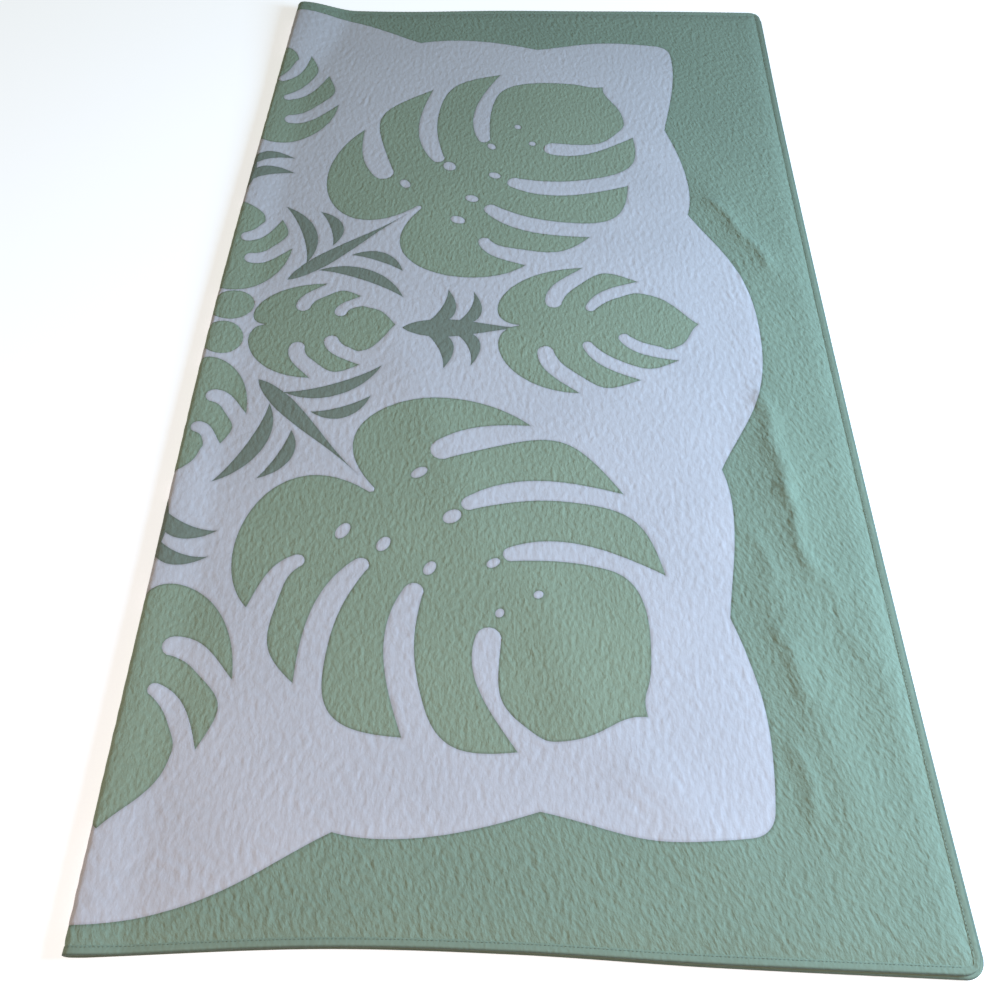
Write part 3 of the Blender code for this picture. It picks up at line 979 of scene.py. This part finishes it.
def rim_stations():
    """Places round the cloth's edge: which side, and how far along it from its middle."""
    stations = []
    for side, length in enumerate(CLOTH_SIDES):
        count = round(length / BINDING_STEP)
        stations += [(side, -length / 2 + length * step / count) for step in range(count)]
    return stations


def rim_place(side, travel, distance):
    """The flat place of points at a distance in from one side of the cloth."""
    half = CLOTH_SIDES[side] / 2
    from_end = half - np.abs(travel)
    drawn = half - distance - from_end * (MITRE_FROM - distance) / MITRE_FROM
    travel = np.where(from_end < MITRE_FROM, np.sign(travel) * drawn, travel)
    outwards = CLOTH_SIDES[side - 1] / 2 - distance
    return ((travel, -outwards), (outwards, travel), (-travel, outwards), (-outwards, -travel))[side]


def make_binding(shift):
    """The narrow strip that is turned over the cloth's raw edge, all the way round."""
    section = np.array(BINDING_SECTION) * MM
    stations = rim_stations()
    rings = [np.broadcast_arrays(*rim_place(side, travel, section[:, 0])) for side, travel in stations]
    across, along = np.concatenate(rings, axis=1)
    out = np.tile(section[:, 1], len(stations))
    pull = PULL * np.sin(math.tau * (across + along) / PULL_LENGTH) * (out > PULL_ABOVE)
    world = place(across, along, out + pull) + shift
    piece = mesh_object("binding", world, grid_faces(len(stations), len(section), closed=True))
    # The distance from the edge stands in for the seam distance, so the material paints shade along the
    # turned outer edge
    store_cloth_place(piece, across, along, np.tile(section[:, 0], len(stations)))
    return piece


def make_stitches(shift):
    """The row of machine stitches that holds the binding, on the outer side of the cloth."""
    spread = np.array(STITCH_SPREAD) * MM
    thick = np.array(STITCH_THICK) * MM
    turns = np.arange(STITCH_SIDES) / STITCH_SIDES * math.tau
    rows = []
    for side, length in enumerate(CLOTH_SIDES):
        clear = length - 2 * CORNER_RADIUS
        middles = np.linspace(-clear / 2, clear / 2, round(clear / STITCH_PITCH))
        travel, distance, height = np.broadcast_arrays(
            middles[:, None, None] + spread[:, None],
            STITCH_LINE + thick[:, None] * np.cos(turns),
            STITCH_OUT + STITCH_FLATNESS * thick[:, None] * np.sin(turns))
        rows.append((*rim_place(side, travel.ravel(), distance.ravel()), height.ravel()))
    across, along, out = np.concatenate(rows, axis=1)
    rings = len(spread)
    count = len(across) // (rings * STITCH_SIDES)
    around = np.arange(STITCH_SIDES)
    ring = np.arange(rings - 1)[:, None] * STITCH_SIDES
    after = (around + 1) % STITCH_SIDES
    next_ring = ring + STITCH_SIDES
    one = np.stack([ring + around, ring + after, next_ring + after, next_ring + around], axis=-1)
    faces = one.reshape(1, -1, 4) + (np.arange(count) * rings * STITCH_SIDES)[:, None, None]
    piece = mesh_object("binding_stitches", place(across, along, out) + shift, faces.reshape(-1, 4))
    store_cloth_place(piece, across, along)
    return piece


def principled(name, colour, finish):
    """A new material and its shader."""
    material = bpy.data.materials.new(name)
    material.use_nodes = True
    shader = material.node_tree.nodes["Principled BSDF"]
    set_inputs(material.node_tree, shader, {"Base Color": colour, **finish})
    return material, shader


def new_noise(tree, flat_place, stretch, waves, detail):
    """Soft noise over the flat cloth, from 0 to 1."""
    inputs = {"Vector": new_stretch(tree, flat_place, stretch), "Scale": waves, "Detail": detail}
    return new_node(tree, "ShaderNodeTexNoise", inputs).outputs["Fac"]


def fine_relief(tree, on_cloth, lean):
    """Fine puffs between the sewn lines, and the crinkles that washing gives them."""
    inputs = {"Vector": on_cloth, "Rotation": (0.0, 0.0, math.radians(lean))}
    leaning = new_node(tree, "ShaderNodeMapping", inputs).outputs["Vector"]
    wave = new_math(tree, "MULTIPLY", new_quilting(tree, leaning, FINE_WAVES, FINE_STRETCH), FINE_SHARE)
    crinkles = new_noise(tree, leaning, CRINKLE_STRETCH, CRINKLE_WAVES, CRINKLE_DETAIL)
    return new_math(tree, "MULTIPLY_ADD", crinkles, CRINKLE_SHARE, wave)


def uneven_shade(tree, on_cloth, height, painted_edge_shade, shade_width):
    """Broad fading, colour lighter on high puffs and darker in the hollows, and painted shade beside seams
    and along the binding's turned outer edge.
    """
    broad = new_noise(tree, on_cloth, 1.0, FADE_WAVES, FADE_DETAIL)
    shade = new_math(tree, "MULTIPLY_ADD", broad, FADE_SHARE, FADE_LOWEST)
    # Colour lighter on the high puffs and darker in the hollows between them
    relief_tone = new_math(tree, "MULTIPLY_ADD", height, RELIEF_TONE_SHARE, RELIEF_TONE_LOWEST)
    shade = new_math(tree, "MULTIPLY", shade, relief_tone)
    if not painted_edge_shade:
        return shade
    # Painted shade: the colour darkens towards a seam, and on the binding towards its turned outer edge
    apart = new_node(tree, "ShaderNodeSeparateXYZ", {0: on_cloth})
    inputs = {"Value": apart.outputs["Z"], "From Max": shade_width, "To Min": 1.0 - painted_edge_shade}
    beside = new_node(tree, "ShaderNodeMapRange", inputs)
    return new_math(tree, "MULTIPLY", shade, beside.outputs[0])


def cloth_material(name, colour, painted_edge_shade=0.0, shade_width=PAINTED_SEAM_SHADE_WIDTH, crinkle=1.0, lean=0.0):
    """Quilted cotton, with fine relief and uneven colour that follow the flat cloth, and painted shade beside
    seams and bound edges.
    """
    material, shader = principled(name, colour, COTTON_FINISH)
    tree = material.node_tree
    on_cloth = new_node(tree, "ShaderNodeAttribute", attribute_name="cloth").outputs["Vector"]
    height = fine_relief(tree, on_cloth, lean)
    relief = new_node(tree, "ShaderNodeBump", {"Height": height, "Distance": FINE_HEIGHT * crinkle})
    shade = uneven_shade(tree, on_cloth, height, painted_edge_shade, shade_width)
    tint = new_node(tree, "ShaderNodeMix", {"Factor": 1.0, "A": colour, "B": shade},
                    data_type="RGBA", blend_type="MULTIPLY")
    set_inputs(tree, shader, {"Normal": relief.outputs[0], "Base Color": tint.outputs["Result"]})
    return material


def add_lights():
    """Two soft square lights, cool from the right and weaker and warm from the near left."""
    for light in LIGHTS:
        data = bpy.data.lights.new(light["name"], "AREA")
        data.shape = "SQUARE"
        data.size = light["size"]
        data.energy = light["watts"]
        data.color = light["colour"]
        lamp = add_object(light["name"], data)
        lamp.location = light["at"]
        lamp.rotation_mode = "QUATERNION"
        towards = Vector(light["towards"]) - Vector(light["at"])
        lamp.rotation_quaternion = towards.to_track_quat("-Z", "Y")


def add_room():
    """A dim even light from all round, and a pale wall that only the camera sees."""
    world = bpy.data.worlds.new("room")
    bpy.context.scene.world = world
    world.use_nodes = True
    tree = world.node_tree
    room_light = tree.nodes["Background"]
    set_inputs(tree, room_light, {"Color": ROOM_LIGHT, "Strength": ROOM_STRENGTH})
    far_wall = new_node(tree, "ShaderNodeBackground", {"Color": ROOM_WALL})
    ray = new_node(tree, "ShaderNodeLightPath")
    inputs = {0: ray.outputs["Is Camera Ray"], 1: room_light.outputs[0], 2: far_wall.outputs[0]}
    seen = new_node(tree, "ShaderNodeMixShader", inputs)
    set_inputs(tree, tree.nodes["World Output"], {"Surface": seen.outputs[0]})


def add_camera(shift):
    """The camera stands where the photographer stood."""
    data = bpy.data.cameras.new("camera")
    data.lens = CAMERA_LENS
    data.sensor_width = CAMERA_SENSOR
    camera = add_object("camera", data)
    forward = Vector(CAMERA_FORWARD).normalized()
    right = Vector(CAMERA_RIGHT)
    right = (right - forward * right.dot(forward)).normalized()
    up = right.cross(forward)
    place_at = Vector(CAMERA_PLACE) + Vector(shift) + Vector((0.0, 0.0, UPPER_TOP))
    turn = Matrix((right, up, -forward)).transposed().to_4x4()
    camera.matrix_world = Matrix.Translation(place_at) @ turn
    bpy.context.scene.camera = camera


def add_floor():
    """A plain pale floor, a little below the cloth."""
    corners = ((-1, -1), (1, -1), (1, 1), (-1, 1))
    points = np.array([(x * FLOOR_REACH, y * FLOOR_REACH, FLOOR_HEIGHT) for x, y in corners])
    floor = mesh_object("floor", points, np.array([(0, 1, 2, 3)]), smooth=False)
    floor.data.materials.append(principled("floor", FLOOR_WHITE, FLOOR_FINISH)[0])


def main():
    """Set up the camera and the lights, then make the pieces, give them their materials and hang them on the
    root body.
    """
    shift = cloth_shift()
    add_camera(shift)
    add_lights()
    add_room()
    add_floor()
    bpy.context.scene.view_settings.view_transform = "Standard"
    pieces = make_top(shift)
    backing = make_backing(shift)
    binding = make_binding(shift)
    stitches = make_stitches(shift)

    # Each cotton but the backing's is darkened beside its seams by painted shade
    cottons = {
        "ground": cloth_material("ground_cotton", OFF_WHITE, painted_edge_shade=0.20, crinkle=0.45),
        "border": cloth_material("border_cotton", SAGE, painted_edge_shade=0.25, crinkle=1.25, lean=BORDER_LEAN),
        # The sprigs' darker colour is partly painted shade on these narrow pieces
        "sprig": cloth_material("sprig_cotton", SPRIG_SAGE, painted_edge_shade=0.20, crinkle=0.7),
    }
    leaf_cotton = cloth_material("leaf_cotton", LEAF_SAGE, painted_edge_shade=0.35)
    for name, piece in pieces.items():
        piece.data.materials.append(cottons.get(name.split("_")[0], leaf_cotton))
    backing.data.materials.append(cloth_material("backing_cotton", BACKING_SAGE))
    # The binding's colour darkens along its turned outer edge as painted shade
    binding.data.materials.append(cloth_material("binding_cotton", BINDING_SAGE, painted_edge_shade=0.70,
                                                 shade_width=PAINTED_BINDING_SHADE_WIDTH, crinkle=0.4))
    stitches.data.materials.append(principled("sewing_thread", THREAD, THREAD_FINISH)[0])

    for piece in list(pieces.values()) + [backing, binding, stitches]:
        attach(piece, "root")
    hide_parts("quilt_panel")
    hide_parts("binding_near", "binding_far", "binding_open_lower", "binding_open_upper")


main()
